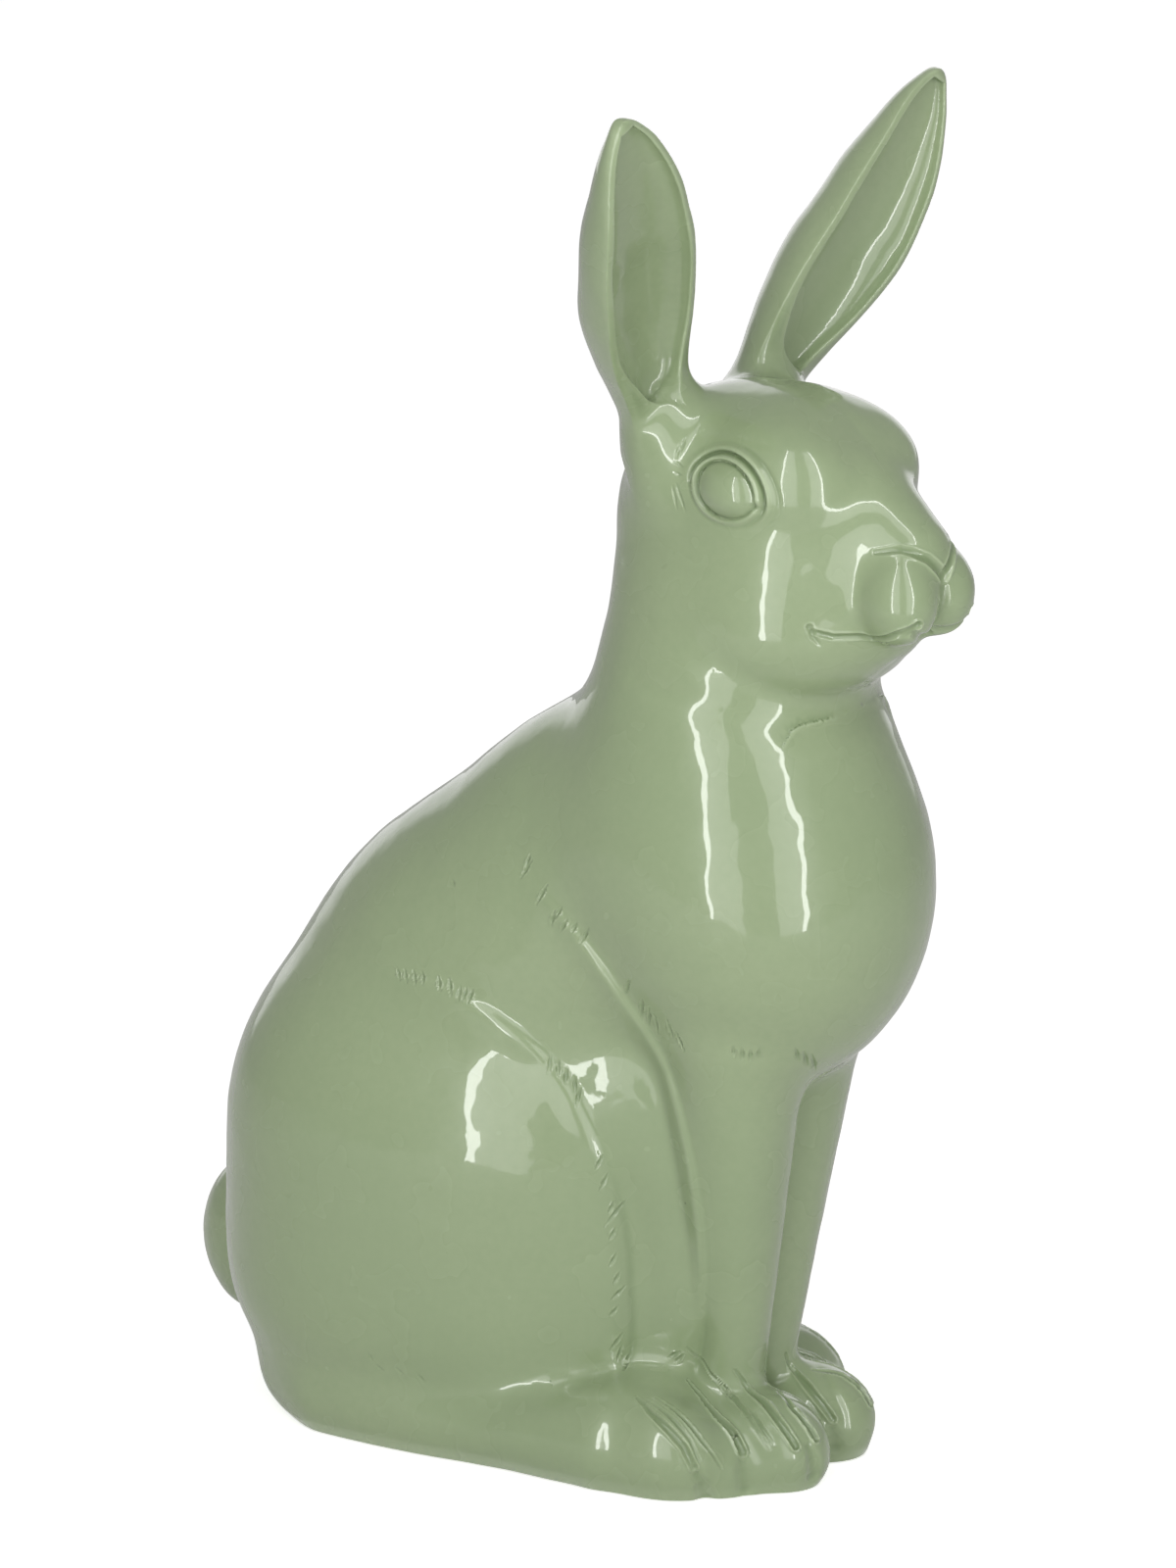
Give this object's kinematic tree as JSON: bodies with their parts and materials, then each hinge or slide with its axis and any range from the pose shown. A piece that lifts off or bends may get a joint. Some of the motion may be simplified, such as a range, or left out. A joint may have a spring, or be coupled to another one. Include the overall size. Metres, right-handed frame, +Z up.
{
  "type": "rabbit figurine",
  "caption": "Tall glossy sage green figure of a sitting hare with upright leaf shaped ears, a free-standing ornament.",
  "frame": {"origin": "on the floor, in the middle of the figure's outline from above", "axes": "+Z up, the hare faces -Y, its left side is +X; the head is turned about 10 degrees to its right"},
  "size_m": [0.1412, 0.2574, 0.3963],
  "materials": {
    "lacquer": "deep gloss sage green lacquer over cast resin",
    "resin": "bare cast resin",
    "steel": "plain drawn steel",
    "felt": "pressed felt"
  },
  "bodies": {
    "root": {"torso_shell": "lacquer", "head_shell": "lacquer", "right_ear": "lacquer", "left_ear": "lacquer", "tail": "lacquer", "right_ear_pin": "steel", "left_ear_pin": "steel", "base_plate": "resin", "front_right_pad": "felt", "front_left_pad": "felt", "rear_right_pad": "felt", "rear_left_pad": "felt"}
  },
  "joints": []
}
